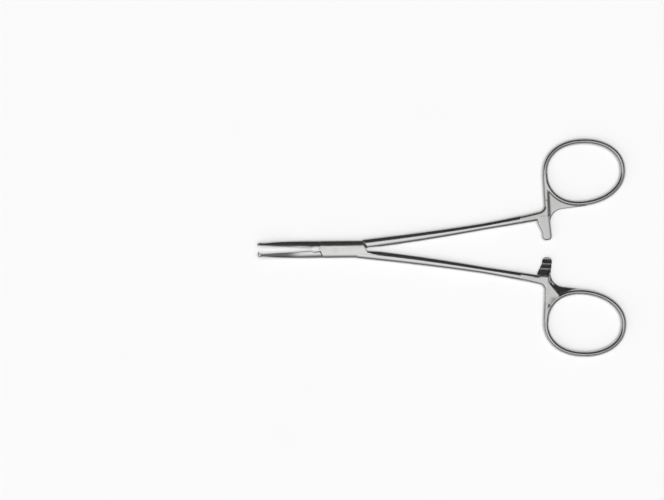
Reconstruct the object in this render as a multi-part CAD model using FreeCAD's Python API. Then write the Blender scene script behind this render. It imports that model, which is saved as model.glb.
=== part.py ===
import FreeCAD, Part
import math
import os

# Curved haemostatic forceps with a box lock, 1x2 teeth, ring handles and a ratchet.
# Millimetres. The origin is on the pivot axis, on the flat underside of the box.
# +X runs from the pivot to the finger rings, +Y across the instrument, +Z is up,
# and the jaws curve up. Each half is drawn closed, with its grip face on the plane
# y = 0, and is then swung to the slightly open pose in which the instrument lies.

Vector = FreeCAD.Vector
PIVOT = Vector(0, 0, 0)
UP = Vector(0, 0, 1)

# Pose
REST_OPENING = 6.0            # degrees between the two grip faces as the part lies
FULL_OPENING = 36.0           # degrees at the end of the travel

# Box lock
BOX_THICKNESS = 4.2
BOX_WIDTH = 6.7
BOX_EDGE_WIDTH = 2.2          # rounding of the long edges, measured across the face
BOX_EDGE_DEPTH = 1.0          # and down the side
THROAT_X = 5.7                # pivot to the throat, where the jaws start
THROAT_Y = 0.6                # height over which the male throat clears the cheeks
FRONT_LEAN = 23.0             # degrees, slope of the cheeks' front edge
REAR_X = 11.7                 # pivot to the cheeks' rear edge, on the centre line
REAR_LEAN = 27.5              # degrees, slope of the cheeks' rear edge
CROTCH_Y = 1.2                # centre line to the crotch between the rear edge and the shank
CROTCH_FALL = 0.35            # drop of the box's edge from the crotch along the shank
BOX_TAIL = 2.2                # reach of the box along the shank past its rear edge
CHEEK_CORNER_RADIUS = 1.4
TONGUE_THICKNESS = 1.5
TONGUE_INSET = 0.12           # the tongue's sides lie this far inside the box's sides
TONGUE_ROOT = 3.5             # reach of the tongue into the jaw and into the shank
SLOT_TAIL = 0.8               # centre line to the slot's rear wall at the crotch
SLOT_CLEARANCE = 0.05         # between the tongue and each cheek
WALL_CLEARANCE = 0.12         # between the closed tongue and the walls of the slot
FRONT_CLEARANCE = 0.15        # between the closed front shoulder and the cheeks' front edge
REAR_CLEARANCE = 0.4          # between the closed rear shoulder and the cheeks' rear edge
FACE_INSET = 0.02             # of the jaws' and shanks' faces below the faces of the box
PIN_RADIUS = 1.3
PIN_CLEARANCE = 0.03          # radial, where the tongue turns on the pin

# Jaws
JAW_STRAIGHT = 4.5            # straight run from the throat
JAW_CURVE_RADIUS = 26.3
JAW_SWEEP = 45.9              # degrees that the jaw turns upwards
JAW_WAIST_WIDTH = 2.75
JAW_TIP_WIDTH = 2.15
JAW_ROOT_HEIGHT = 3.05
JAW_WAIST_HEIGHT = 2.5
JAW_TIP_HEIGHT = 1.3
JAW_EDGE_WIDTH = 0.3          # share of the jaw's width in the rounding of its back
JAW_EDGE_HEIGHT = 0.84        # share of its height
JAW_STATIONS = 12
TIP_STATIONS = (0.4, 0.7, 0.88, 0.97)  # shares of the tip's rounded length
JAW_LEAD_IN = 2.6             # reach of the jaw's root into the box
GRIP_GAP = 0.06               # between the closed grip faces
SMOOTH_LENGTH = 3.4           # plain stretch of grip face next to the throat
SMOOTH_RELIEF = 0.6
SERRATION_PITCH = 0.78
SERRATION_DEPTH = 0.3
SERRATION_SPREAD = 0.46       # share of the pitch on each side of a groove
TOOTH_HEIGHT = 0.75
TOOTH_WIDTH = 0.8
TOOTH_LENGTH = 0.9
TOOTH_RIDGE = (0.62, 0.9)     # shares of its length between which its ridge lies
TOOTH_ROOT = 0.35             # depth of the tooth's base inside the jaw
TOOTH_CLEARANCE = 0.08

# Shanks
SHANK_START_X = 8.5
SHANK_START_Y = 1.27
SHANK_END_Y = 8.42            # centre line to the shank's end, closed
SHANK_SAG = 0.77              # of the shank's middle below the straight line between its ends
SHANK_ROOT_WIDTH = 3.55
SHANK_MIDDLE_WIDTH = 3.3
SHANK_WAIST_WIDTH = 2.8
SHANK_NECK_WIDTH = 3.5
SHANK_WAIST_THICKNESS = 3.3
SHANK_ROOT_EDGE_WIDTH = 1.6   # rounding of the shank's edges where it leaves the box
SHANK_ROOT_EDGE_DEPTH = 0.95
SHANK_EDGE_WIDTH = 1.36       # and along its slim part
SHANK_EDGE_DEPTH = 1.1
SHANK_STATIONS = 10
SHANK_GAP = 0.2               # between the closed shanks where they pass nearest

# Finger rings
SPINE_X = 81.3                # centre line of the bar where shank, ring and ratchet meet
RING_LENGTH = 27.4            # inside, along the instrument
RING_WIDTH = 21.3             # inside, across it
RING_FULLNESS = 2.15          # 2 is an ellipse, a higher value is fuller at the corners
RING_EGG = 0.06               # share by which the far end is narrower and the near end wider
RING_TILT = 3.0               # degrees between the ring's long axis and the closed instrument
RING_BAR_WIDTH = 2.25
RING_BAR_THICKNESS = 3.5
RING_RISE = 3.55              # from the shank's end to the ring bar's centre line
RING_STATIONS = 48
RING_BAR_SIDES = 20           # flats round the bar
SPINE_WIDTH = 2.3
SPINE_THICKNESS = 3.4
SPINE_EDGE_WIDTH = 0.97       # rounding of the spine's edges
SPINE_EDGE_DEPTH = 1.02
WEB_THICKNESS = 2.2
WEB_EDGE_THICKNESS = 1.35     # at its outer edge, where it slopes on the side with the teeth
WEB_CURVE_RADIUS = 5.0
WEB_DROP = 0.9                # of the web's outer edge below the ring
BRACE_REACH = 4.6             # foot of the brace on the ring, from the spine's centre line
BRACE_RISE = 4.8              # and above the shank's end

# Neck
NECK_LENGTH = 11.0            # run of the neck back along the shank
NECK_RISE = 6.0               # run of the neck up along the spine
NECK_EDGE_CHAMFER = 0.7
NECK_OUTER_RADIUS = 2.2
NECK_HEEL_RADIUS = 1.2

# Ratchet
ARM_SHIFT = 0.55              # centre of the arm's end, short of the spine's centre line
ARM_ROOT_WIDTH = 5.0
ARM_END_WIDTH = 3.8
ARM_LEAN = 0.4                # of the arm's long edge, from root to end
ARM_FLARE_START = 1.2         # below the shank, where the arm starts to narrow
ARM_FLARE_END = 5.0           # below the shank, where it has its end width
ARM_CORNER_RADIUS = 1.4
ARM_UPPER_OVERLAP = 1.3       # reach of the upper arm past the centre line when closed
ARM_LOWER_OVERLAP = 0.6       # reach of the lower arm
ARM_CLEARANCE = 0.06          # between the crests of the two rows of teeth
ARM_THICKNESS = 1.75
ARM_EDGE_CHAMFER = 0.5
RATCHET_TEETH = 3
RATCHET_PITCH = 1.9
RATCHET_DEPTH = 0.5
RATCHET_STEEP = 0.13          # share of the pitch over which a tooth's steep side falls
RATCHET_EASY = 0.92           # share of the pitch at which its easy side comes up again
RATCHET_LAND = 0.55           # land at the arm's end, outside the teeth
RATCHET_FALL = 0.16           # fall of that land towards the arm's end

HALF_OPENING = REST_OPENING / 2
MIDDLE_Z = BOX_THICKNESS / 2
FLUSH_THICKNESS = BOX_THICKNESS - 2 * FACE_INSET
HUB_RADIUS = BOX_WIDTH / 2 - TONGUE_INSET
FRONT_RUN = math.tan(math.radians(FRONT_LEAN))
REAR_RUN = math.tan(math.radians(REAR_LEAN))
JAW_LENGTH = JAW_STRAIGHT + JAW_CURVE_RADIUS * math.radians(JAW_SWEEP)
SHANK_RUN = SPINE_X - SHANK_START_X
NECK_THICKNESS = ARM_CLEARANCE + 2 * ARM_THICKNESS - 2 * FACE_INSET
SHANK_UNDER_Y = SHANK_END_Y - SHANK_NECK_WIDTH / 2
ARM_X = SPINE_X - ARM_SHIFT
ARM_RIGHT_X = ARM_X + ARM_END_WIDTH / 2 - ARM_LEAN
NECK_RIGHT_X = ARM_RIGHT_X - FACE_INSET
HALF_LENGTH = (RING_LENGTH + RING_BAR_WIDTH) / 2
HALF_RING_WIDTH = (RING_WIDTH + RING_BAR_WIDTH) / 2
RING_CENTRE = Vector(SPINE_X + HALF_LENGTH, SHANK_END_Y + RING_RISE + HALF_RING_WIDTH, MIDDLE_Z)
RING_UNDER_Y = RING_CENTRE.y - HALF_RING_WIDTH
EDGE_STEPS = 6                # flats round a rounded edge
BEYOND = 2 * BOX_WIDTH        # reach of cutting bodies past what they cut


def swung(shape, degrees):
    """A copy of the shape turned about the pivot axis."""
    copy = shape.copy()
    copy.rotate(PIVOT, UP, degrees)
    return copy


def mirrored(shape):
    """The shape on the other side of the centre plane."""
    return shape.mirror(PIVOT, Vector(0, 1, 0))


def blend(root, waist, tip, share):
    """Smooth taper from root to tip that leans towards the waist value."""
    return root * (1 - share) ** 2 + 2 * waist * share * (1 - share) + tip * share ** 2


def closed_polygon(points):
    """Closed wire through the points."""
    return Part.makePolygon(points + points[:1])


def rounded_outline(corners):
    """Closed wire at z = 0 through (x, y, radius) corners, each rounded by its radius."""
    edges = []
    starts = []
    ends = []
    count = len(corners)
    for index in range(count):
        here = Vector(corners[index][0], corners[index][1], 0)
        before = Vector(corners[index - 1][0], corners[index - 1][1], 0)
        after = Vector(corners[(index + 1) % count][0], corners[(index + 1) % count][1], 0)
        radius = corners[index][2]
        if radius == 0:
            starts.append(here)
            ends.append(here)
            continue
        back = (before - here).normalize()
        forth = (after - here).normalize()
        half_angle = back.getAngle(forth) / 2
        reach = radius / math.tan(half_angle)
        start = here + back * reach
        end = here + forth * reach
        middle_line = (back + forth).normalize()
        centre = here + middle_line * (radius / math.sin(half_angle))
        middle = centre - middle_line * radius
        edges.append(Part.Arc(start, middle, end).toShape())
        starts.append(start)
        ends.append(end)
    for index in range(count):
        start = ends[index]
        end = starts[(index + 1) % count]
        if start.distanceToPoint(end) > 1e-6:
            edges.append(Part.LineSegment(start, end).toShape())
    return Part.Wire(Part.__sortEdges__(edges))


def plate(corners, bottom, top):
    """Solid between two heights with a rounded outline."""
    face = Part.Face(rounded_outline(corners))
    face.translate(Vector(0, 0, bottom))
    return face.extrude(Vector(0, 0, top - bottom))


def slab(corners, thickness):
    """Plate of a thickness on the middle plane."""
    return plate(corners, MIDDLE_Z - thickness / 2, MIDDLE_Z + thickness / 2)


def flat_edges(body):
    """Edges of a plate's top and bottom outlines."""
    chosen = []
    box = body.BoundBox
    for edge in body.Edges:
        low = edge.BoundBox.ZMin
        high = edge.BoundBox.ZMax
        if high - low < 1e-6 and (abs(low - box.ZMin) < 1e-6 or abs(low - box.ZMax) < 1e-6):
            chosen.append(edge)
    return chosen


def edge_rounding(width, depth):
    """Offsets from a sharp corner to the flats that round it, from the side to the face."""
    offsets = []
    for index in range(EDGE_STEPS + 1):
        turn = math.pi / 2 * index / EDGE_STEPS
        offsets.append((width * (1 - math.cos(turn)), depth * (1 - math.sin(turn))))
    return offsets


def bar_section(centre, across, width, thickness, edge_width, edge_depth):
    """Bar section with rounded edges, its width along the across direction, thickness along z."""
    rounding = edge_rounding(edge_width, edge_depth)
    points = []
    for side, level, steps in ((1, 1, rounding), (-1, 1, rounding[::-1]),
                               (-1, -1, rounding), (1, -1, rounding[::-1])):
        for inward, down in steps:
            aside = across * (side * (width / 2 - inward))
            upward = UP * (level * (thickness / 2 - down))
            points.append(centre + aside + upward)
    return closed_polygon(points)


# Jaws

def jaw_place(length):
    """Point on the grip face's middle line and the way it runs, at a length from the throat."""
    if length <= JAW_STRAIGHT:
        return Vector(-THROAT_X - length, 0, MIDDLE_Z), Vector(-1, 0, 0)
    angle = (length - JAW_STRAIGHT) / JAW_CURVE_RADIUS
    x = -THROAT_X - JAW_STRAIGHT - JAW_CURVE_RADIUS * math.sin(angle)
    z = MIDDLE_Z + JAW_CURVE_RADIUS * (1 - math.cos(angle))
    return Vector(x, 0, z), Vector(-math.cos(angle), 0, math.sin(angle))


def jaw_axes(length):
    """Point on the grip face with the directions along, across and out of it."""
    place, along = jaw_place(length)
    return place, along, Vector(along.z, 0, -along.x), Vector(0, 1, 0)


def jaw_section(length, width, height):
    """Section of a jaw: flat grip face, straight flanks and a rounded back."""
    place, along, across, outward = jaw_axes(length)
    rounding = edge_rounding(JAW_EDGE_WIDTH * width, JAW_EDGE_HEIGHT * height)
    offsets = [(-width / 2, GRIP_GAP / 2), (width / 2, GRIP_GAP / 2)]
    offsets += [(width / 2 - inward, height - down) for inward, down in rounding]
    offsets += [(inward - width / 2, height - down) for inward, down in rounding[::-1]]
    return closed_polygon([place + across * u + outward * v for u, v in offsets])


def jaw_blank():
    """Upper jaw without its serrations, closed pose, reaching a little into the box."""
    tip_radius = JAW_TIP_WIDTH / 2
    body_end = JAW_LENGTH - tip_radius
    sections = [jaw_section(-JAW_LEAD_IN, FLUSH_THICKNESS, JAW_ROOT_HEIGHT)]
    for index in range(JAW_STATIONS):
        share = index / (JAW_STATIONS - 1)
        width = blend(FLUSH_THICKNESS, JAW_WAIST_WIDTH, JAW_TIP_WIDTH, share)
        height = blend(JAW_ROOT_HEIGHT, JAW_WAIST_HEIGHT, JAW_TIP_HEIGHT, share)
        sections.append(jaw_section(share * body_end, width, height))
    for share in TIP_STATIONS:
        roundness = math.sqrt(1 - share ** 2)
        width = JAW_TIP_WIDTH * roundness
        height = JAW_TIP_HEIGHT * (0.55 + 0.45 * roundness)
        sections.append(jaw_section(body_end + share * tip_radius, width, height))
    return Part.makeLoft(sections, True, True)


def across_prism(length, profile):
    """Prism that crosses the grip face at a length, from (along, outward) corners."""
    place, along, across, outward = jaw_axes(length)
    points = [place + along * u + outward * v - across * BOX_THICKNESS for u, v in profile]
    return Part.Face(closed_polygon(points)).extrude(across * 2 * BOX_THICKNESS)


def serration_cutters(phase):
    """V grooves at even steps along the grip face."""
    cutters = []
    start = SMOOTH_LENGTH + phase * SERRATION_PITCH
    end = JAW_LENGTH - TOOTH_LENGTH - SERRATION_PITCH / 2
    face = GRIP_GAP / 2
    spread = SERRATION_SPREAD * SERRATION_PITCH
    outside = face - SERRATION_DEPTH
    profile = [(-spread, outside), (-spread, face), (0, face + SERRATION_DEPTH),
               (spread, face), (spread, outside)]
    count = int((end - start) / SERRATION_PITCH) + 1
    for index in range(count):
        cutters.append(across_prism(start + index * SERRATION_PITCH, profile))
    return cutters


def smooth_relief():
    """Shallow step that keeps the plain stretch by the throat off the other jaw."""
    half = SMOOTH_LENGTH / 2
    inside = -2 * SMOOTH_LENGTH
    face = GRIP_GAP / 2
    floor = face + SMOOTH_RELIEF
    profile = [(inside, -SMOOTH_LENGTH), (half, -SMOOTH_LENGTH), (half, face),
               (half - 1.5 * SMOOTH_RELIEF, floor), (inside, floor)]
    return across_prism(half, profile)


def tooth(grow):
    """Pointed tooth at the tip, standing down from the upper grip face."""
    place, along, across, outward = jaw_axes(JAW_LENGTH - TOOTH_LENGTH)
    base_side = TOOTH_WIDTH / 2 + grow
    base_end = TOOTH_LENGTH + grow
    ridge_start = TOOTH_RIDGE[0] * TOOTH_LENGTH - grow
    ridge_end = TOOTH_RIDGE[1] * TOOTH_LENGTH + grow
    ridge_side = TOOTH_WIDTH / 8 + grow

    def rectangle(start, end, side, level):
        corners = [(start, -side), (end, -side), (end, side), (start, side)]
        return closed_polygon([place + along * u + across * v + outward * level for u, v in corners])

    base = rectangle(-grow, base_end, base_side, GRIP_GAP / 2 + TOOTH_ROOT)
    crown = rectangle(ridge_start, ridge_end, ridge_side, -TOOTH_HEIGHT - grow)
    return Part.makeLoft([base, crown], True, True)


def upper_jaw(phase, toothed):
    """Upper jaw in the closed pose, with one tooth or with the notch that takes it."""
    jaw = jaw_blank().cut(serration_cutters(phase) + [smooth_relief()])
    if toothed:
        return jaw.fuse(tooth(0))
    return jaw.cut(mirrored(tooth(TOOTH_CLEARANCE)))


# Shanks

def shank_y(x):
    """Height of the upper shank's centre line above the centre plane, closed pose."""
    share = (x - SHANK_START_X) / SHANK_RUN
    straight = SHANK_START_Y + (SHANK_END_Y - SHANK_START_Y) * share
    return straight - 4 * SHANK_SAG * share * (1 - share)


def shank_form(share):
    """Width, thickness, edge width and edge depth at a share of the shank's length."""
    root = (SHANK_ROOT_WIDTH, FLUSH_THICKNESS, SHANK_ROOT_EDGE_WIDTH, SHANK_ROOT_EDGE_DEPTH)
    waist = (SHANK_WAIST_WIDTH, SHANK_WAIST_THICKNESS, SHANK_EDGE_WIDTH, SHANK_EDGE_DEPTH)
    middle = (SHANK_MIDDLE_WIDTH,) + tuple((a + b) / 2 for a, b in zip(root[1:], waist[1:]))
    neck_end = (SHANK_NECK_WIDTH,) + waist[1:]
    rows = [(0.0, root), (0.1, root), (0.35, middle), (0.67, waist), (1.0, neck_end)]
    for (start, first), (end, second) in zip(rows, rows[1:]):
        if share <= end:
            break
    step = (share - start) / (end - start)
    return [a + (b - a) * step for a, b in zip(first, second)]


def shank():
    """Upper shank, from inside the box to the spine of the ring."""
    sections = []
    for index in range(SHANK_STATIONS):
        share = index / (SHANK_STATIONS - 1)
        x = SHANK_START_X + share * SHANK_RUN
        slope = (SHANK_END_Y - SHANK_START_Y - 4 * SHANK_SAG * (1 - 2 * share)) / SHANK_RUN
        across = Vector(-slope, 1, 0).normalize()
        width, thickness, edge_width, edge_depth = shank_form(share)
        centre = Vector(x, shank_y(x), MIDDLE_Z)
        sections.append(bar_section(centre, across, width, thickness, edge_width, edge_depth))
    return Part.makeLoft(sections, True, True)


# Finger rings

def ring_points():
    """Points round the ring's centre line, about its own centre."""
    points = []
    power = 2 / RING_FULLNESS
    for index in range(RING_STATIONS):
        turn = 2 * math.pi * index / RING_STATIONS
        along = math.copysign(abs(math.cos(turn)) ** power, math.cos(turn))
        side = math.copysign(abs(math.sin(turn)) ** power, math.sin(turn))
        points.append(Vector(HALF_LENGTH * along, HALF_RING_WIDTH * side * (1 - RING_EGG * along), 0))
    return points


def oval_section(centre, across, width, thickness):
    """Oval of flats with its width along the across direction and its thickness along z."""
    points = []
    for index in range(RING_BAR_SIDES):
        turn = 2 * math.pi * index / RING_BAR_SIDES
        aside = across * (width / 2 * math.cos(turn))
        upward = UP * (thickness / 2 * math.sin(turn))
        points.append(centre + aside + upward)
    return closed_polygon(points)


def ring_bar():
    """Finger ring: an oval bar carried round the larger oval."""
    points = ring_points()
    sections = []
    for index in range(RING_STATIONS):
        along = points[(index + 1) % RING_STATIONS] - points[index - 1]
        outward = Vector(along.y, -along.x, 0).normalize()
        sections.append(oval_section(points[index], outward, RING_BAR_WIDTH, RING_BAR_THICKNESS))
    half = RING_STATIONS // 2
    near = Part.makeLoft(sections[:half + 1], True, True)
    far = Part.makeLoft(sections[half:] + sections[:1], True, True)
    return near.fuse(far)


def ring_hole():
    """Tall prism inside the ring's centre line, which trims what joins the ring to its bar."""
    face = Part.Face(closed_polygon(ring_points()))
    face.translate(Vector(0, 0, -BEYOND))
    return face.extrude(Vector(0, 0, 2 * BEYOND))


def placed_ring(shape):
    """The ring's own shape, tilted and set beside the shank's end."""
    copy = shape.copy()
    copy.rotate(PIVOT, UP, RING_TILT)
    copy.translate(RING_CENTRE)
    return copy


def web():
    """Web in the corner between the arm and the ring, sloping on the side with the teeth."""
    outer_y = RING_UNDER_Y - RING_BAR_WIDTH / 2 - WEB_DROP
    foot_y = outer_y - WEB_CURVE_RADIUS - FACE_INSET
    corners = [
        (SPINE_X, RING_CENTRE.y, 0),
        (SPINE_X, SHANK_END_Y, 0),
        (ARM_RIGHT_X - ARM_LEAN, foot_y, 0),
        (ARM_RIGHT_X, foot_y, 0),
        (ARM_RIGHT_X, outer_y, WEB_CURVE_RADIUS),
        (RING_CENTRE.x, outer_y + WEB_DROP + FACE_INSET, 0),
        (RING_CENTRE.x, RING_CENTRE.y, 0),
    ]
    thin = MIDDLE_Z + WEB_THICKNESS / 2 - WEB_EDGE_THICKNESS
    thick = MIDDLE_Z - WEB_THICKNESS / 2
    slope = [
        Vector(ARM_RIGHT_X, foot_y - WEB_DROP, thin),
        Vector(ARM_RIGHT_X, outer_y, thin),
        Vector(ARM_RIGHT_X, RING_UNDER_Y, thick),
        Vector(ARM_RIGHT_X, RING_UNDER_Y, thick - BEYOND),
        Vector(ARM_RIGHT_X, foot_y - WEB_DROP, thick - BEYOND),
    ]
    bevel = Part.Face(closed_polygon(slope)).extrude(Vector(RING_LENGTH, 0, 0))
    return slab(corners, WEB_THICKNESS).cut([placed_ring(ring_hole()), bevel])


def spine():
    """Rounded bar that carries the ring's side down to the shank and the arm."""
    section = bar_section(Vector(SPINE_X, SHANK_END_Y, MIDDLE_Z), Vector(-1, 0, 0),
                          SPINE_WIDTH, SPINE_THICKNESS, SPINE_EDGE_WIDTH, SPINE_EDGE_DEPTH)
    return Part.Face(section).extrude(Vector(0, RING_CENTRE.y - SHANK_END_Y, 0))


def brace():
    """Broad flare from the neck to the ring, on the side with the ratchet's teeth."""
    left = SPINE_X - SPINE_WIDTH / 4
    foot_y = SHANK_END_Y + BRACE_RISE
    corners = [
        (left, SHANK_END_Y, 0),
        (ARM_RIGHT_X - NECK_EDGE_CHAMFER, SHANK_END_Y, 0),
        (SPINE_X + BRACE_REACH, foot_y, 0),
        (SPINE_X + BRACE_REACH, foot_y + NECK_RISE, 0),
        (left, foot_y + NECK_RISE / 2, 0),
    ]
    return plate(corners, MIDDLE_Z - NECK_THICKNESS / 2 + FACE_INSET, MIDDLE_Z).cut(placed_ring(ring_hole()))


def neck():
    """Body in which the shank, the spine and the ratchet arm run together."""
    left = SPINE_X - SPINE_WIDTH / 2 + FACE_INSET
    start_x = SPINE_X - NECK_LENGTH
    start_half = SHANK_WAIST_WIDTH / 2
    start_y = shank_y(start_x)
    corners = [
        (start_x, start_y - start_half, 0),
        (ARM_RIGHT_X - ARM_ROOT_WIDTH, SHANK_UNDER_Y - NECK_EDGE_CHAMFER / 2, NECK_HEEL_RADIUS),
        (ARM_RIGHT_X - ARM_END_WIDTH, SHANK_UNDER_Y - NECK_EDGE_CHAMFER, 0),
        (NECK_RIGHT_X, SHANK_UNDER_Y - NECK_EDGE_CHAMFER, 0),
        (NECK_RIGHT_X, SHANK_END_Y + NECK_RISE, 0),
        (left, SHANK_END_Y + NECK_RISE, 0),
        (left, SHANK_END_Y + SHANK_NECK_WIDTH / 2, NECK_OUTER_RADIUS),
        (start_x, start_y + start_half, 0),
    ]
    body = slab(corners, NECK_THICKNESS)
    return body.makeChamfer(NECK_EDGE_CHAMFER, flat_edges(body))


# Ratchet

def arm(teeth_up, overlap):
    """Ratchet arm, upper member's plan, either above or below the middle plane."""
    left_end = ARM_X - ARM_END_WIDTH / 2
    left_root = ARM_RIGHT_X - ARM_ROOT_WIDTH
    corners = [
        (left_root, SHANK_END_Y, 0),
        (left_root, SHANK_UNDER_Y - ARM_FLARE_START, 0),
        (left_end, SHANK_UNDER_Y - ARM_FLARE_END, ARM_CORNER_RADIUS / 2),
        (left_end, -overlap, ARM_CORNER_RADIUS),
        (left_end + ARM_END_WIDTH, -overlap, ARM_CORNER_RADIUS),
        (ARM_RIGHT_X, SHANK_UNDER_Y, 0),
        (ARM_RIGHT_X, SHANK_END_Y, 0),
    ]
    base = MIDDLE_Z + ARM_CLEARANCE / 2
    body = plate(corners, base, base + ARM_THICKNESS)
    top_edges = [edge for edge in flat_edges(body) if edge.BoundBox.ZMin > base + ARM_THICKNESS / 2]
    body = body.makeChamfer(ARM_EDGE_CHAMFER, top_edges)
    left = ARM_X - ARM_ROOT_WIDTH
    outside = base - RATCHET_DEPTH
    first = RATCHET_LAND - overlap
    crest = first - RATCHET_STEEP * RATCHET_PITCH
    profiles = [[(crest, outside), (crest, base), (crest - 2 * RATCHET_LAND, base + 2 * RATCHET_FALL),
                 (crest - 2 * RATCHET_LAND, outside)]]
    for index in range(RATCHET_TEETH):
        start = first + index * RATCHET_PITCH
        steep = start + RATCHET_STEEP * RATCHET_PITCH
        end = start + RATCHET_EASY * RATCHET_PITCH
        if index == RATCHET_TEETH - 1:
            end = max(end, SHANK_UNDER_Y)
        profiles.append([(start, outside), (start, base), (steep, base + RATCHET_DEPTH),
                         (end, base), (end, outside)])
    cutters = []
    for profile in profiles:
        face = Part.Face(closed_polygon([Vector(left, y, z) for y, z in profile]))
        cutters.append(face.extrude(Vector(2 * ARM_ROOT_WIDTH, 0, 0)))
    body = body.cut(cutters)
    if teeth_up:
        body.rotate(Vector(0, 0, MIDDLE_Z), Vector(1, 0, 0), 180)
        body = mirrored(body)
    return body


def upper_handle(teeth_up, overlap):
    """Upper shank with its ring and ratchet arm, closed pose, clear of the centre plane."""
    flares = [web(), brace()]
    if teeth_up:
        flares = [flare.mirror(Vector(0, 0, MIDDLE_Z), UP) for flare in flares]
    handle = shank()
    for piece in [neck(), spine(), placed_ring(ring_bar())] + flares:
        handle = handle.fuse(piece)
    other_side = Part.makeBox(SHANK_RUN, BEYOND, 2 * BEYOND, Vector(0, SHANK_GAP / 2 - BEYOND, -BEYOND))
    return handle.cut(other_side).fuse(arm(teeth_up, overlap))


# Box lock

def cheek_edges(grow):
    """Places of the cheeks' front, rear and side edges, as the part lies, grown by a clearance."""
    front = THROAT_X + grow / math.cos(math.radians(FRONT_LEAN))
    rear = REAR_X + grow / math.cos(math.radians(REAR_LEAN))
    return front, rear, BOX_WIDTH / 2 + grow


def box_blank():
    """Box before its slot: rounded bar trimmed to the slanted front and rear edges."""
    front, rear, side = cheek_edges(0)
    tail = rear + BOX_TAIL
    section = bar_section(Vector(-THROAT_X, 0, MIDDLE_Z), Vector(0, -1, 0),
                          BOX_WIDTH, BOX_THICKNESS, BOX_EDGE_WIDTH, BOX_EDGE_DEPTH)
    bar = Part.Face(section).extrude(Vector(THROAT_X + tail, 0, 0))
    corners = [
        (-front, BOX_WIDTH, 0),
        (-front, 0, 0),
        (-front + FRONT_RUN * side, -side, CHEEK_CORNER_RADIUS),
        (tail, -side, 0),
        (tail, -CROTCH_Y - CROTCH_FALL, 0),
        (rear + REAR_RUN * CROTCH_Y, -CROTCH_Y, 0),
        (rear - REAR_RUN * BOX_WIDTH, BOX_WIDTH, 0),
    ]
    return bar.common(slab(corners, 2 * BOX_THICKNESS))


def tangent_point(point, radius):
    """Where a line from the point touches a circle about the pivot, on the clockwise side."""
    distance = math.hypot(point[0], point[1])
    angle = math.atan2(point[1], point[0]) - math.acos(radius / distance)
    return radius * math.cos(angle), radius * math.sin(angle)


def past(start, through, extra):
    """Point on the line from start through a second point, an extra distance past it."""
    share = 1 + extra / math.hypot(through[0] - start[0], through[1] - start[1])
    return start[0] + (through[0] - start[0]) * share, start[1] + (through[1] - start[1]) * share


def wall_ends(shrink):
    """Throat, crotch and the points where the walls of the slot touch the turning circle."""
    radius = HUB_RADIUS + WALL_CLEARANCE - shrink
    throat = (-THROAT_X + shrink, -shrink)
    crotch = (REAR_X + REAR_RUN * CROTCH_Y, -SLOT_TAIL + shrink)
    return throat, crotch, tangent_point(throat, radius), tangent_point(crotch, radius)


def slot_face(shrink):
    """Plan of the slot as the part lies, or of the space that the closed tongue may fill."""
    throat, crotch, front_touch, rear_touch = wall_ends(shrink)
    front_exit = past(throat, front_touch, BOX_WIDTH)
    rear_exit = past(crotch, rear_touch, BOX_WIDTH)
    rear_start = past(rear_touch, crotch, BEYOND)
    points = [
        throat, front_exit, (front_exit[0], BEYOND), (rear_start[0], BEYOND), rear_start,
        rear_exit, (rear_exit[0], -BEYOND), (-THROAT_X - BEYOND, -BEYOND), (-THROAT_X - BEYOND, throat[1]),
    ]
    return Part.Face(closed_polygon([Vector(x, y, 0) for x, y in points]))


def turned_corner(touch, side, radius):
    """Corner of the band past a wall's touching point, outside the turning circle."""
    start = math.atan2(touch[1], touch[0]) + math.radians(REST_OPENING)
    end = side * math.pi / 2
    points = [PIVOT]
    for angle in (start, (start + end) / 2, end):
        points.append(Vector(BEYOND * math.cos(angle), BEYOND * math.sin(angle), 0))
    wedge = Part.Face(closed_polygon(points))
    return wedge.cut(Part.Face(Part.Wire(Part.makeCircle(radius))))


def tongue_face(grow):
    """Plan of the tongue as the part lies, grown by a clearance."""
    radius = HUB_RADIUS + grow
    front = THROAT_X + TONGUE_ROOT
    band = Part.makePlane(front + REAR_X + TONGUE_ROOT, 2 * radius, Vector(-front, -radius, 0))
    allowed = swung(slot_face(WALL_CLEARANCE - grow), REST_OPENING)
    front_touch, rear_touch = wall_ends(WALL_CLEARANCE - grow)[2:]
    corners = [turned_corner(front_touch, 1, radius), turned_corner(rear_touch, -1, radius)]
    return band.common(allowed).cut(corners)


def slot():
    """Slot through the box in which the tongue turns, clear of it when fully open."""
    height = TONGUE_THICKNESS + 2 * SLOT_CLEARANCE
    fully_open = swung(tongue_face(WALL_CLEARANCE), FULL_OPENING - REST_OPENING)
    face = slot_face(0).fuse(fully_open)
    face.translate(Vector(0, 0, MIDDLE_Z - height / 2))
    return face.extrude(Vector(0, 0, height))


def tongue():
    """Thin middle of the through half, as the part lies."""
    face = tongue_face(0)
    face.translate(Vector(0, 0, MIDDLE_Z - TONGUE_THICKNESS / 2))
    return face.extrude(Vector(0, 0, TONGUE_THICKNESS))


def pin_hole(radius):
    """Round hole on the pivot axis."""
    return Part.makeCylinder(radius, 3 * BOX_THICKNESS, Vector(0, 0, -BOX_THICKNESS))


def shoulder_cutter():
    """Space that the closed box needs between the shoulders of the through half."""
    front = cheek_edges(FRONT_CLEARANCE)[0]
    rear = cheek_edges(REAR_CLEARANCE)[1]
    corners = [
        (-front - FRONT_RUN * THROAT_Y, THROAT_Y, 0),
        (-front + FRONT_RUN * BOX_WIDTH, -BOX_WIDTH, 0),
        (rear + REAR_RUN * BOX_WIDTH, -BOX_WIDTH, 0),
        (rear - REAR_RUN * BOX_WIDTH, BOX_WIDTH, 0),
        (-front - FRONT_RUN * THROAT_Y, BOX_WIDTH, 0),
    ]
    return swung(slab(corners, 2 * BOX_THICKNESS), REST_OPENING)


# The three pieces

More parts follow.
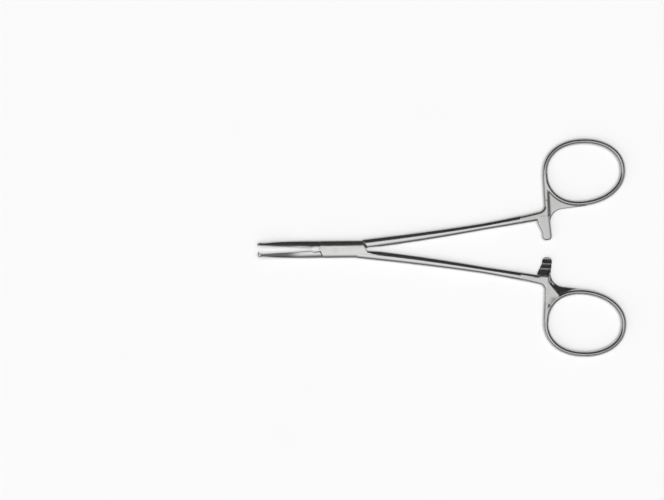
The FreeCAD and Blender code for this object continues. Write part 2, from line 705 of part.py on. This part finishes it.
def make_box_half():
    """Female half: upper jaw, box and lower handle, forged in one."""
    jaw = upper_jaw(0.5, False)
    handle = mirrored(upper_handle(True, ARM_LOWER_OVERLAP))
    body = swung(jaw, -HALF_OPENING).multiFuse([swung(handle, -HALF_OPENING), box_blank()])
    return body.cut([slot(), pin_hole(PIN_RADIUS)])


def make_through_half():
    """Male half: lower jaw and upper handle joined by the tongue, forged in one."""
    jaw = mirrored(upper_jaw(1.0, True))
    handle = upper_handle(False, ARM_UPPER_OVERLAP)
    body = swung(jaw, HALF_OPENING).fuse(swung(handle, HALF_OPENING)).cut(shoulder_cutter())
    return body.fuse(tongue()).cut(pin_hole(PIN_RADIUS + PIN_CLEARANCE))


def make_pivot_pin():
    """Rivet through both cheeks and the tongue, ground flush."""
    return Part.makeCylinder(PIN_RADIUS, BOX_THICKNESS)


os.makedirs("parts", exist_ok=True)
nodes = {
    "box_half": make_box_half(),
    "through_half": make_through_half(),
    "pivot_pin": make_pivot_pin(),
}
for name, shape in nodes.items():
    shape.exportStep("parts/" + name + ".step")
    print(name, len(shape.Solids), "solid", round(shape.Volume, 1), "mm3", shape.isValid())
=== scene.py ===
# %% [markdown]
# # Curved haemostatic forceps on a white table
#
# The instrument is forged from two bars of stainless steel. One bar opens into a flat box, the
# other passes through it as a thin tongue, and a rivet ground flush joins them. Each half then has
# a curved serrated jaw at one end and a finger ring at the other, with a ratchet arm beside it.
#
# The shapes come from the CAD model. Blender gives them smooth shading, ground steel, a table,
# soft light and the camera of a catalogue picture, straight from above. The origin lies on the
# rivet's axis at the flat underside of the box. X points to the rings, and Z points up.

# %% The frame and its tools
import math

import bpy
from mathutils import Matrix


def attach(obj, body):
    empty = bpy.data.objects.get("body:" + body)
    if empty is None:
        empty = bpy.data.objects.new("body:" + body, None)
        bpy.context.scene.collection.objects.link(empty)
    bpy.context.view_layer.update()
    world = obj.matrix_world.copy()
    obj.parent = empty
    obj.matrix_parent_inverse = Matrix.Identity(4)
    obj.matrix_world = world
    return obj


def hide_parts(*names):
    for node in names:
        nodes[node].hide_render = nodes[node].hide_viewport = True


MM = 0.001


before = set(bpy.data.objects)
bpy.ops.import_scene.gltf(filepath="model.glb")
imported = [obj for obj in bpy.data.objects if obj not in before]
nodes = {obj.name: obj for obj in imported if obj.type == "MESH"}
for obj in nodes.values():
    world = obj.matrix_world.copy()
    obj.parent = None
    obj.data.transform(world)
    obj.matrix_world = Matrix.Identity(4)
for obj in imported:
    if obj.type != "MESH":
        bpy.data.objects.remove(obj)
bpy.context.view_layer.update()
print("CAD nodes:", sorted(nodes))

# %% [markdown]
# ## Two helpers for materials
#
# A colour is easiest to compare with a picture as an sRGB hex value, but shaders count in linear
# light, so one function turns one into the other. The second function adds a shader node with its
# settings and links, which keeps each material readable as a list of steps.
#
# A Mix node has one set of sockets for each kind of data. Its colour sockets are found by number.

# %% Colour and node helpers
MIX_A = 6
MIX_B = 7
MIX_RESULT = 2


def linear(hex_value):
    """RGBA in linear light from an sRGB hex value such as 0xC8C9CA, by the standard curve."""
    channels = []
    for shift in (16, 8, 0):
        value = ((hex_value >> shift) & 255) / 255
        channels.append(value / 12.92 if value <= 0.04045 else ((value + 0.055) / 1.055) ** 2.4)
    return (*channels, 1.0)


def add_node(tree, kind, settings=None, links=None):
    """A new node with attributes or input values set, and inputs linked."""
    node = tree.nodes.new(kind)
    for key, value in (settings or {}).items():
        if isinstance(key, int) or key in node.inputs:
            node.inputs[key].default_value = value
        else:
            setattr(node, key, value)
    for key, socket in (links or {}).items():
        tree.links.new(socket, node.inputs[key])
    return node


print("sRGB 0x808080 in linear light:", round(linear(0x808080)[0], 3))

# %% [markdown]
# ## Satin stainless steel
#
# The halves are drop-forged martensitic stainless steel, ground on belts and then brushed or
# bead-blasted to a satin finish, which reflects about 58 % of the light as an even grey. To the eye
# that gives broad soft reflections with fine grain along the bars, and brighter lines where handling
# has polished the edges. Painted shade darkens the serrations and the joint, with grime in the
# serrations.
#
# The material is built in steps: where a point lies, its grain, its edges, its painted shade and
# grime, and its colour. Each step is a short function that adds a few nodes and hands on what it
# found. Inside the seam radius lie the rivet and the rim of its hole. They are ground level, so no
# edge, painted shade or grime shows there.

# %% Where a point of the steel lies
SEAM_RADIUS_MM = 1.8


def find_place(tree):
    """Sockets for a point's place, its reach from the rivet's axis, and 1 outside the seam."""
    spot = add_node(tree, "ShaderNodeTexCoord").outputs["Object"]
    parts = add_node(tree, "ShaderNodeSeparateXYZ", {}, {"Vector": spot})
    seen_from_above = add_node(tree, "ShaderNodeMapping", {"Scale": (1.0, 1.0, 0.0)}, {"Vector": spot})
    reach = add_node(tree, "ShaderNodeVectorMath", {"operation": "LENGTH"},
                     {0: seen_from_above.outputs["Vector"]})
    off_rivet = add_node(tree, "ShaderNodeMath", {"operation": "GREATER_THAN", 1: SEAM_RADIUS_MM * MM},
                         {0: reach.outputs["Value"]})
    return {
        "spot": spot,
        "x": parts.outputs["X"],
        "y": parts.outputs["Y"],
        "z": parts.outputs["Z"],
        "reach": reach.outputs["Value"],
        "off_rivet": off_rivet.outputs["Value"],
    }


print("seam of the rivet hidden within", SEAM_RADIUS_MM, "mm")

# %% [markdown]
# ### Grain
#
# The grain of such a finish is about 0.1 mm wide, too fine to show in a picture of the whole, so it
# is drawn three or four times as coarse. It is noise drawn out along the bars. Wider clouds of noise
# make one patch a little darker than the next, as grinding by hand does.

# %% Grain and clouds
GRAIN_STRETCH = 12
CLOUD_MM = 9


def grain_and_clouds(tree, where, grain_mm):
    """Fine noise drawn out along the bars, and wide soft patches."""
    along = 1 / (GRAIN_STRETCH * grain_mm * MM)
    across = 1 / (grain_mm * MM)
    stretched = add_node(tree, "ShaderNodeMapping", {"Scale": (along, across, across)},
                         {"Vector": where["spot"]})
    grain = add_node(tree, "ShaderNodeTexNoise", {"Scale": 1.0, "Detail": 3.0, "Roughness": 0.6},
                     {"Vector": stretched.outputs["Vector"]})
    clouds = add_node(tree, "ShaderNodeTexNoise",
                      {"Scale": 1 / (CLOUD_MM * MM), "Detail": 4.0, "Roughness": 0.55},
                      {"Vector": where["spot"]})
    return grain.outputs["Fac"], clouds.outputs["Fac"]


print("grain", GRAIN_STRETCH, "times as long as wide, clouds of", CLOUD_MM, "mm")

# %% [markdown]
# ### Edges
#
# Tumbling takes a quarter of a millimetre off every sharp edge. A Bevel node rounds the look of the
# edges by that much without new faces. Where its normal departs from the true one there is an edge,
# and handling wears it bright.
#
# From the neck to the rings lies the handle, with edges rounded far more so that they don't press
# into a finger. The ratchet's teeth stay crisp: on the half that shows them, only what lies further
# out than they do is softened.

# %% Rounded and worn edges
EDGE_MM = 0.25
FLUSH_EDGE_MM = 0.001
HANDLE_EDGE_MM = 0.6
HANDLE_START_MM = 66
HANDLE_FULL_MM = 72
EDGE_SAMPLES = 8
FACING_UNWORN = 0.995
FACING_WORN = 0.93


def round_edges(tree, where, soft_from_mm):
    """A normal with rounded edges, and how far each place is worn bright."""
    edge_size = add_node(tree, "ShaderNodeMath",
                         {"operation": "MULTIPLY_ADD", 1: (EDGE_MM - FLUSH_EDGE_MM) * MM,
                          2: FLUSH_EDGE_MM * MM},
                         {0: where["off_rivet"]})
    at_handle = add_node(tree, "ShaderNodeMapRange",
                         {"From Min": HANDLE_START_MM * MM, "From Max": HANDLE_FULL_MM * MM,
                          "To Max": HANDLE_EDGE_MM * MM},
                         {"Value": where["x"]})
    aside = add_node(tree, "ShaderNodeMath", {"operation": "ABSOLUTE"}, {0: where["y"]})
    off_teeth = add_node(tree, "ShaderNodeMath", {"operation": "GREATER_THAN", 1: soft_from_mm * MM},
                         {0: aside.outputs["Value"]})
    softness = add_node(tree, "ShaderNodeMath", {"operation": "MULTIPLY_ADD"},
                        {0: at_handle.outputs["Result"], 1: off_teeth.outputs["Value"],
                         2: edge_size.outputs["Value"]})
    rounded = add_node(tree, "ShaderNodeBevel", {"samples": EDGE_SAMPLES},
                       {"Radius": softness.outputs["Value"]})
    geometry = add_node(tree, "ShaderNodeNewGeometry")
    facing = add_node(tree, "ShaderNodeVectorMath", {"operation": "DOT_PRODUCT"},
                      {0: rounded.outputs["Normal"], 1: geometry.outputs["Normal"]})
    worn = add_node(tree, "ShaderNodeMapRange", {"From Min": FACING_UNWORN, "From Max": FACING_WORN},
                    {"Value": facing.outputs["Value"]})
    return rounded.outputs["Normal"], worn.outputs["Result"]


print("edges rounded by", EDGE_MM, "mm, and by", EDGE_MM + HANDLE_EDGE_MM, "mm at the handle")

# %% [markdown]
# ### Painted shade and grime
#
# An Ambient Occlusion node measures how open a point lies, and closed-in places are painted darker.
# With a short reach it finds the bottoms of the serrations and of the ratchet's teeth, where the
# darkening is painted shade together with polishing paste and old oil. With a longer one it finds
# the inner corner where the tongue meets its shoulder, which shows as a dark line at the end of the
# box. That second darkening is painted shade, and lies only near the joint and below the cheek. The
# darkening starts at the OPEN value of each node and is strongest at the CLOSED one.
#
# Both nodes look at their own piece alone. With other pieces counted, the table would darken the
# whole underside.

# %% Painted shade and grime in hollows, painted shade round the tongue
OPEN_SKY_SAMPLES = 12
HOLLOW_REACH_MM = 1.0
HOLLOW_OPEN = 0.85
HOLLOW_CLOSED = 0.5
HOLLOW_SHADE_AND_GRIME = 0.95
CREVICE_REACH_MM = 2.6
CREVICE_OPEN = 0.98
CREVICE_CLOSED = 0.84
JOINT_RADIUS_MM = 14.0
UNDER_CHEEK_MM = 2.95


def gather_shade_and_grime(tree, where, joint_shade):
    """How much painted shade and grime darken each place, from 0 to 1."""
    open_sky = add_node(tree, "ShaderNodeAmbientOcclusion",
                        {"samples": OPEN_SKY_SAMPLES, "only_local": True,
                         "Distance": HOLLOW_REACH_MM * MM})
    # Places closed in at short reach get painted shade, with grime, in the serrations and teeth.
    closed_in = add_node(tree, "ShaderNodeMapRange",
                         {"From Min": HOLLOW_OPEN, "From Max": HOLLOW_CLOSED, "To Max": HOLLOW_SHADE_AND_GRIME},
                         {"Value": open_sky.outputs["AO"]})
    hollow_shade_and_grime = add_node(tree, "ShaderNodeMath", {"operation": "MULTIPLY"},
                     {0: closed_in.outputs["Result"], 1: where["off_rivet"]})
    wide_sky = add_node(tree, "ShaderNodeAmbientOcclusion",
                        {"samples": OPEN_SKY_SAMPLES, "only_local": True,
                         "Distance": CREVICE_REACH_MM * MM})
    # The inner corner where the tongue meets its shoulder gets painted shade where the wide reach is
    # closed in.
    crevice_shade = add_node(tree, "ShaderNodeMapRange",
                       {"From Min": CREVICE_OPEN, "From Max": CREVICE_CLOSED, "To Max": joint_shade},
                       {"Value": wide_sky.outputs["AO"]})
    near_joint = add_node(tree, "ShaderNodeMath", {"operation": "LESS_THAN", 1: JOINT_RADIUS_MM * MM},
                          {0: where["reach"]})
    below_cheek = add_node(tree, "ShaderNodeMath", {"operation": "LESS_THAN", 1: UNDER_CHEEK_MM * MM},
                           {0: where["z"]})
    in_joint = add_node(tree, "ShaderNodeMath", {"operation": "MULTIPLY"},
                        {0: near_joint.outputs["Value"], 1: below_cheek.outputs["Value"]})
    # Painted shade of the joint, only near the rivet and below the cheek.
    painted_joint_shade = add_node(tree, "ShaderNodeMath", {"operation": "MULTIPLY"},
                    {0: in_joint.outputs["Value"], 1: crevice_shade.outputs["Result"]})
    shade_and_grime = add_node(tree, "ShaderNodeMath", {"operation": "MAXIMUM"},
                    {0: hollow_shade_and_grime.outputs["Value"], 1: painted_joint_shade.outputs["Value"]})
    return shade_and_grime.outputs["Value"]


# The painted shade of the joint lies within this reach of the rivet and below this height.
print("joint dirt within", JOINT_RADIUS_MM, "mm of the rivet and below", UNDER_CHEEK_MM, "mm")

# %% [markdown]
# ### Colour
#
# The clouds take up to 14 % off the steel's tone, and worn edges reflect up to 18 % more than it.
# The handle is 16 % darker than the jaws and the box. Painted shade and grime share a warm near-black.

# %% Colour of the steel
CLOUD_SHADE = 0.86
WORN_BRIGHT = 1.18
HANDLE_TONE = 0.84
# The colour grows darker towards the rings between these two places.
DARKENING_START_MM = 62
DARKENING_FULL_MM = 74
# A warm near-black for painted shade and grime.
SHADE_AND_GRIME_TONE = 0x323130


def scaled(colour, factor):
    """A colour made darker or lighter by a factor, with 1 as the most."""
    return (*(min(1.0, factor * value) for value in colour[:3]), 1.0)


def steel_colour(tree, where, tone, clouds, worn, shade_and_grime):
    """The steel's colour, clouded, darker at the handle, worn bright and darkened by painted shade and
    grime.
    """
    steel = linear(tone)
    cloudy = add_node(tree, "ShaderNodeMix",
                      {"data_type": "RGBA", MIX_A: scaled(steel, CLOUD_SHADE), MIX_B: steel},
                      {0: clouds})
    handle_tone = add_node(tree, "ShaderNodeMapRange",
                           {"From Min": DARKENING_START_MM * MM, "From Max": DARKENING_FULL_MM * MM,
                            "To Min": 1.0, "To Max": HANDLE_TONE},
                           {"Value": where["x"]})
    # This makes the colour darker towards the rings, by HANDLE_TONE.
    darker_at_handle = add_node(tree, "ShaderNodeVectorMath", {"operation": "SCALE"},
                       {0: cloudy.outputs[MIX_RESULT], "Scale": handle_tone.outputs["Result"]})
    polished = add_node(tree, "ShaderNodeMix", {"data_type": "RGBA", MIX_B: scaled(steel, WORN_BRIGHT)},
                        {0: worn, MIX_A: darker_at_handle.outputs["Vector"]})
    # Painted shade and grime darken the colour here.
    shaded_and_grimy = add_node(tree, "ShaderNodeMix", {"data_type": "RGBA", MIX_B: linear(SHADE_AND_GRIME_TONE)},
                      {0: shade_and_grime, MIX_A: polished.outputs[MIX_RESULT]})
    return shaded_and_grimy.outputs[MIX_RESULT]


print("handle at", HANDLE_TONE, "of the tone of the box")

# %% [markdown]
# ### The finished steel
#
# The shader is a plain metal. Its roughness goes with the grain, from 0.11 to 0.2, and worn edges
# are glossier. The grain is also a relief of two hundredths of a millimetre, on top of the rounded
# edges. Each piece has its own steel, because only the box half shows the ratchet's teeth, only the
# through half has the tongue's shoulder, and the rivet is ground finer.

# %% Steel of the two halves and the rivet
SATIN_TONE = 0xC9C9C8
GROUND_TONE = 0xC6C6C6
DULL_LEAST = 0.11
DULL_MOST = 0.2
WORN_GLOSS = -0.06
RELIEF_MM = 0.02
RELIEF_STRENGTH = 0.25


def satin_steel(name, tone, grain_mm, soft_from_mm, joint_shade):
    """Brushed stainless steel, with softer handle edges further out than soft_from_mm."""
    material = bpy.data.materials.new(name)
    material.use_nodes = True
    tree = material.node_tree
    tree.nodes.clear()
    where = find_place(tree)
    grain, clouds = grain_and_clouds(tree, where, grain_mm)
    rounded, worn = round_edges(tree, where, soft_from_mm)
    shade_and_grime = gather_shade_and_grime(tree, where, joint_shade)
    colour = steel_colour(tree, where, tone, clouds, worn, shade_and_grime)
    dull = add_node(tree, "ShaderNodeMapRange", {"To Min": DULL_LEAST, "To Max": DULL_MOST},
                    {"Value": grain})
    gloss = add_node(tree, "ShaderNodeMath", {"operation": "MULTIPLY_ADD", 1: WORN_GLOSS},
                     {0: worn, 2: dull.outputs["Result"]})
    relief = add_node(tree, "ShaderNodeBump", {"Strength": RELIEF_STRENGTH, "Distance": RELIEF_MM * MM},
                      {"Height": grain, "Normal": rounded})
    shader = add_node(tree, "ShaderNodeBsdfPrincipled", {"Metallic": 1.0},
                      {"Base Color": colour, "Roughness": gloss.outputs["Value"],
                       "Normal": relief.outputs["Normal"]})
    add_node(tree, "ShaderNodeOutputMaterial", {}, {"Surface": shader.outputs["BSDF"]})
    return material


box_steel = satin_steel("satin steel of the box half", SATIN_TONE,
                        grain_mm=0.4, soft_from_mm=11.0, joint_shade=0.0)
# The through half gets painted shade in the tongue's inner corner.
through_steel = satin_steel("satin steel of the through half", SATIN_TONE,
                            grain_mm=0.4, soft_from_mm=0.0, joint_shade=0.95)
pin_steel = satin_steel("ground rivet steel", GROUND_TONE,
                        grain_mm=0.3, soft_from_mm=0.0, joint_shade=0.0)
for steel in (box_steel, through_steel, pin_steel):
    print(steel.name, "with", len(steel.node_tree.nodes), "nodes")

# %% [markdown]
# ## The two halves
#
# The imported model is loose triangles, flat-shaded. A copy of each half is merged at its shared
# corners and shaded smooth wherever two faces meet at less than 34 degrees, so the rings and shanks
# turn softly and the box, the serrations and the ratchet keep their edges. The copy then stands for
# the CAD node and rides on the same body.

# %% Merged and smoothed copies
MERGE_MM = 0.002
SMOOTH_BELOW_DEGREES = 34


def smooth_copy(node_name, piece_name, body, material):
    """A merged, smooth-shaded copy of a CAD node that replaces it."""
    piece = bpy.data.objects.new(piece_name, nodes[node_name].data.copy())
    bpy.context.scene.collection.objects.link(piece)
    bpy.ops.object.select_all(action="DESELECT")
    piece.select_set(True)
    bpy.context.view_layer.objects.active = piece
    bpy.ops.object.mode_set(mode="EDIT")
    bpy.ops.mesh.select_all(action="SELECT")
    bpy.ops.mesh.remove_doubles(threshold=MERGE_MM * MM)
    bpy.ops.object.mode_set(mode="OBJECT")
    bpy.ops.mesh.customdata_custom_splitnormals_clear()
    bpy.ops.object.shade_smooth_by_angle(angle=math.radians(SMOOTH_BELOW_DEGREES))
    piece.data.materials.clear()
    piece.data.materials.append(material)
    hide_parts(node_name)
    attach(piece, body)
    print(piece_name, len(piece.data.vertices), "points", len(piece.data.polygons), "faces")


smooth_copy("box_half", "box_half_steel", "female_half", box_steel)
smooth_copy("through_half", "through_half_steel", "male_half", through_steel)

# %% [markdown]
# ## The rivet
#
# The rivet is peened over and ground level with both cheeks, so it hardly shows. Its CAD node has
# the right shape and only takes the steel.

# %% Rivet finish
rivet = nodes["pivot_pin"]
rivet.data.materials.clear()
rivet.data.materials.append(pin_steel)
print("rivet in", rivet.data.materials[0].name)

# %% [markdown]
# ## Table
#
# A plain white table top of matt laminate. It is a very large plane, so that all but the lowest
# views end in white, and it keeps the soft shadow of the instrument. Patches about 3 cm wide differ
# a little in tone, as on a real table.

# %% White table top
TABLE_SIZE = 60.0
PATCH_SCALE = 30.0
LAMINATE_TONES = (0xF6F6F6, 0xF9F9F9)


def table_paint():
    """Matt white laminate with a faint unevenness."""
    material = bpy.data.materials.new("matt white laminate")
    material.use_nodes = True
    tree = material.node_tree
    tree.nodes.clear()
    place = add_node(tree, "ShaderNodeTexCoord")
    mottle = add_node(tree, "ShaderNodeTexNoise", {"Scale": PATCH_SCALE, "Detail": 2.0},
                      {"Vector": place.outputs["Object"]})
    darker, lighter = [linear(tone) for tone in LAMINATE_TONES]
    tint = add_node(tree, "ShaderNodeMix", {"data_type": "RGBA", MIX_A: darker, MIX_B: lighter},
                    {0: mottle.outputs["Fac"]})
    shader = add_node(tree, "ShaderNodeBsdfPrincipled", {"Roughness": 0.9, "Specular IOR Level": 0.1},
                      {"Base Color": tint.outputs[MIX_RESULT]})
    add_node(tree, "ShaderNodeOutputMaterial", {}, {"Surface": shader.outputs["BSDF"]})
    return material


bpy.ops.object.select_all(action="DESELECT")
bpy.ops.mesh.primitive_plane_add(size=TABLE_SIZE, location=(0, 0, 0))
table_top = bpy.context.object
table_top.name = "table_top"
table_top.data.materials.append(table_paint())
print("table top", TABLE_SIZE, "m wide")

# %% [markdown]
# ## Light
#
# Steel shows what stands around it. The world is a gradient whose brightness depends on the
# direction only. It is bright straight overhead, so upward faces turn light grey. It is black towards
# the far side, so every edge that turns that way reads as a dark band, and it is dim towards the
# near side and both ends.
#
# Each row of SKY_SIDES holds an axis, the part of the direction along it at which the light starts
# to fall and at which it has fallen, and the share that is left. A broad soft sun straight above
# lights the table and isn't mirrored in the steel.

# %% Studio sky
SKY_BRIGHT = 1.55
SKY_DIM = 0.08
SKY_SIDES = (
    ("Y", 0.04, 0.17, 0.0),
    ("Y", -0.25, -0.8, 0.15),
    ("X", 0.06, 0.55, 0.15),
    ("X", -0.4, -0.9, 0.3),
)


def studio_sky():
    """World that is bright overhead and falls off to each side by a row of SKY_SIDES."""
    world = bpy.data.worlds.new("studio sky")
    world.use_nodes = True
    tree = world.node_tree
    tree.nodes.clear()
    direction = add_node(tree, "ShaderNodeTexCoord")
    parts = add_node(tree, "ShaderNodeSeparateXYZ", {}, {"Vector": direction.outputs["Generated"]})
    falls = []
    for axis, start, end, left in SKY_SIDES:
        ramp = add_node(tree, "ShaderNodeMapRange",
                        {"interpolation_type": "SMOOTHSTEP", "From Min": start, "From Max": end,
                         "To Min": 1.0, "To Max": left},
                        {"Value": parts.outputs[axis]})
        falls.append(ramp.outputs["Result"])
    level = falls[0]
    for fall in falls[1:]:
        product = add_node(tree, "ShaderNodeMath", {"operation": "MULTIPLY"}, {0: level, 1: fall})
        level = product.outputs["Value"]
    strength = add_node(tree, "ShaderNodeMath",
                        {"operation": "MULTIPLY_ADD", 1: SKY_BRIGHT, 2: SKY_DIM}, {0: level})
    glow = add_node(tree, "ShaderNodeBackground", {}, {"Strength": strength.outputs["Value"]})
    add_node(tree, "ShaderNodeOutputWorld", {}, {"Surface": glow.outputs["Background"]})
    return world


bpy.context.scene.world = studio_sky()
print("sky from", SKY_DIM, "to", round(SKY_BRIGHT + SKY_DIM, 2))

# %% Table lamp
LAMP_HEIGHT = 1.5
LAMP_ENERGY = 2.07
LAMP_SPREAD_DEGREES = 18

bpy.ops.object.select_all(action="DESELECT")
bpy.ops.object.light_add(type="SUN", location=(0, 0, LAMP_HEIGHT))
table_lamp = bpy.context.object
table_lamp.name = "table_lamp"
table_lamp.data.energy = LAMP_ENERGY
table_lamp.data.angle = math.radians(LAMP_SPREAD_DEGREES)
table_lamp.visible_glossy = False
print("lamp", table_lamp.name, "with energy", LAMP_ENERGY)

# %% [markdown]
# ## Camera
#
# The picture was taken straight from above with a long lens, turned by less than half a degree. One
# pixel of its 664 by 500 shows 0.38 mm at half the height of the box, and the height of the camera
# is counted from there.

# %% Camera straight above
PIXEL = 0.38 * MM
FRAME_WIDTH = 664 * PIXEL
CAMERA_HEIGHT = 1.2
CAMERA_REACH = 100.0
SENSOR_WIDTH = 36.0
HALF_BOX_HEIGHT = 2.1 * MM
AIM_X = -1.14 * MM
AIM_Y = -0.22 * MM
TURN_DEGREES = -0.4

camera_data = bpy.data.cameras.new("catalogue camera")
camera_data.sensor_width = SENSOR_WIDTH
camera_data.lens = SENSOR_WIDTH * CAMERA_HEIGHT / FRAME_WIDTH
camera_data.clip_end = CAMERA_REACH
camera = bpy.data.objects.new("catalogue_camera", camera_data)
bpy.context.scene.collection.objects.link(camera)
camera.location = (AIM_X, AIM_Y, CAMERA_HEIGHT + HALF_BOX_HEIGHT)
camera.rotation_euler = (0.0, 0.0, math.radians(TURN_DEGREES))
bpy.context.scene.camera = camera
bpy.context.scene.view_settings.view_transform = "Standard"
print("lens", round(camera_data.lens), "mm, frame", round(FRAME_WIDTH / MM, 1), "mm wide")
